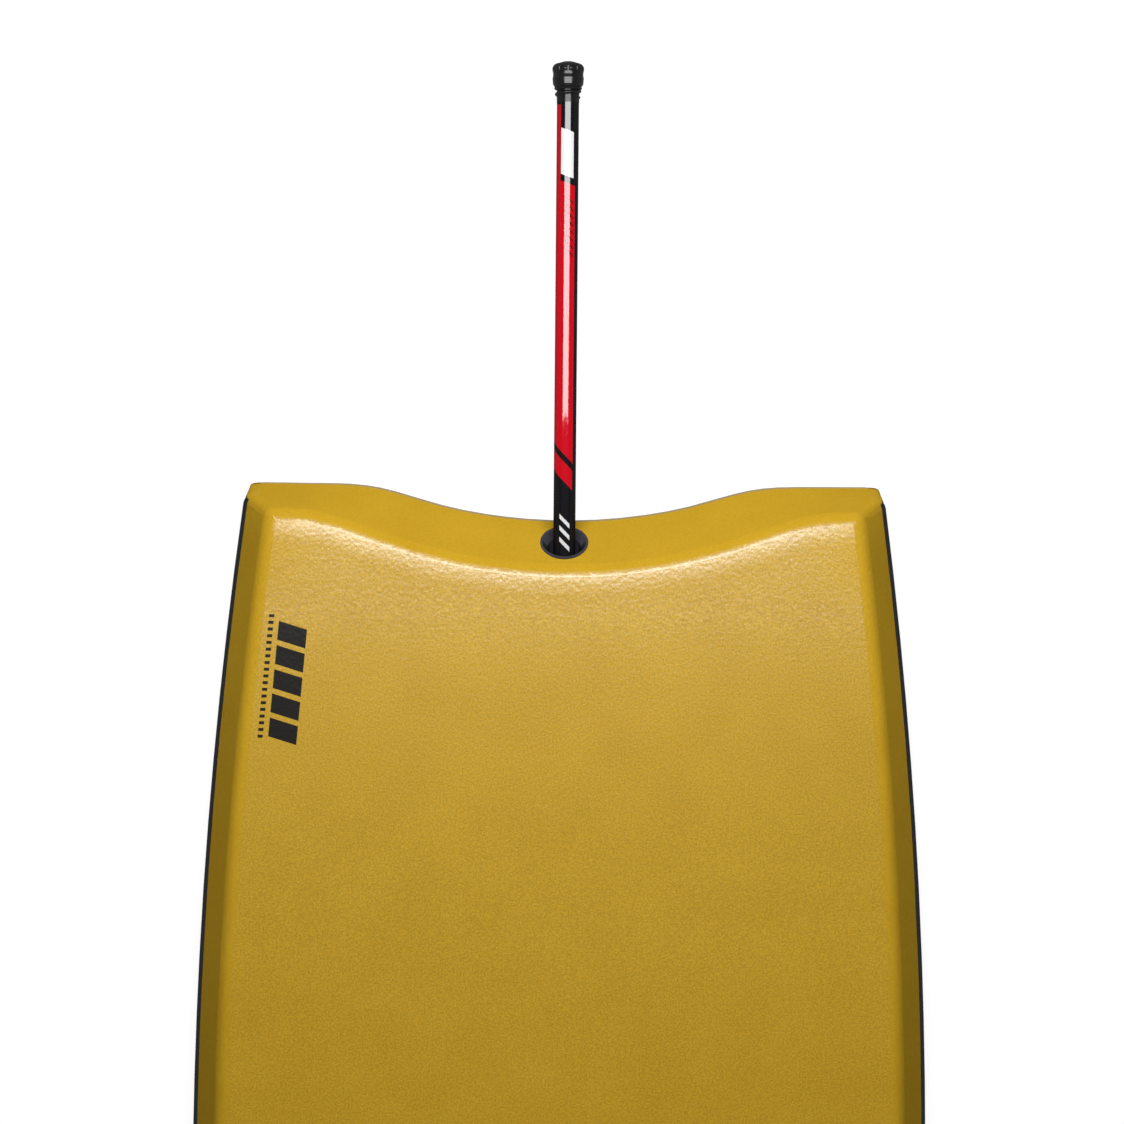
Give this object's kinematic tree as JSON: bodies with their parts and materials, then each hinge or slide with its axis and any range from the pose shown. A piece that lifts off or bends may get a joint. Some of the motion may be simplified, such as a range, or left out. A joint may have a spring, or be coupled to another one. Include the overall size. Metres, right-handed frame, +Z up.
{
  "type": "bodyboard",
  "caption": "Bodyboard with a crescent tail, skinned foam core, upturned nose and a stringer rod that slides out of a plug in the tail bevel.",
  "frame": {"origin": "on the slick bottom, on the centre line, half-way along the board", "axes": "+Z up out of the deck, +Y towards the tail and along the stringer, +X towards the rail on the right when the tail points away"},
  "size_m": [0.565, 1.3918, 0.0867],
  "materials": {
    "core_foam": "matte",
    "mesh": "matte",
    "deck": "satin",
    "slick": "satin",
    "rail": "satin",
    "plug": "satin",
    "sleeve": "satin",
    "stringer": "gloss",
    "cap": "gloss",
    "seal": "satin"
  },
  "bodies": {
    "board": {"foam_core": "core_foam", "bottom_mesh": "mesh", "deck_skin": "deck", "slick_skin": "slick", "rail_left": "rail", "rail_right": "rail", "nose_rail": "rail", "tail_plug": "plug", "stringer_sleeve": "sleeve", "sleeve_end_plug": "sleeve"},
    "tip": {"stringer_tip": "cap"},
    "stringer": {"stringer_tube": "stringer", "stringer_cap": "cap", "cap_seal": "seal"}
  },
  "joints": [
    {"name": "stringer_slide", "type": "slide", "parent": "board", "child": "tip", "axis": [0, 1, 0], "range_m": [-0.383, 0.26]},
    {"name": "stringer_turn", "type": "hinge", "parent": "tip", "child": "stringer", "pos_m": [0, 0.1184, 0.0264], "axis": [0, 1, 0], "continuous": true}
  ]
}
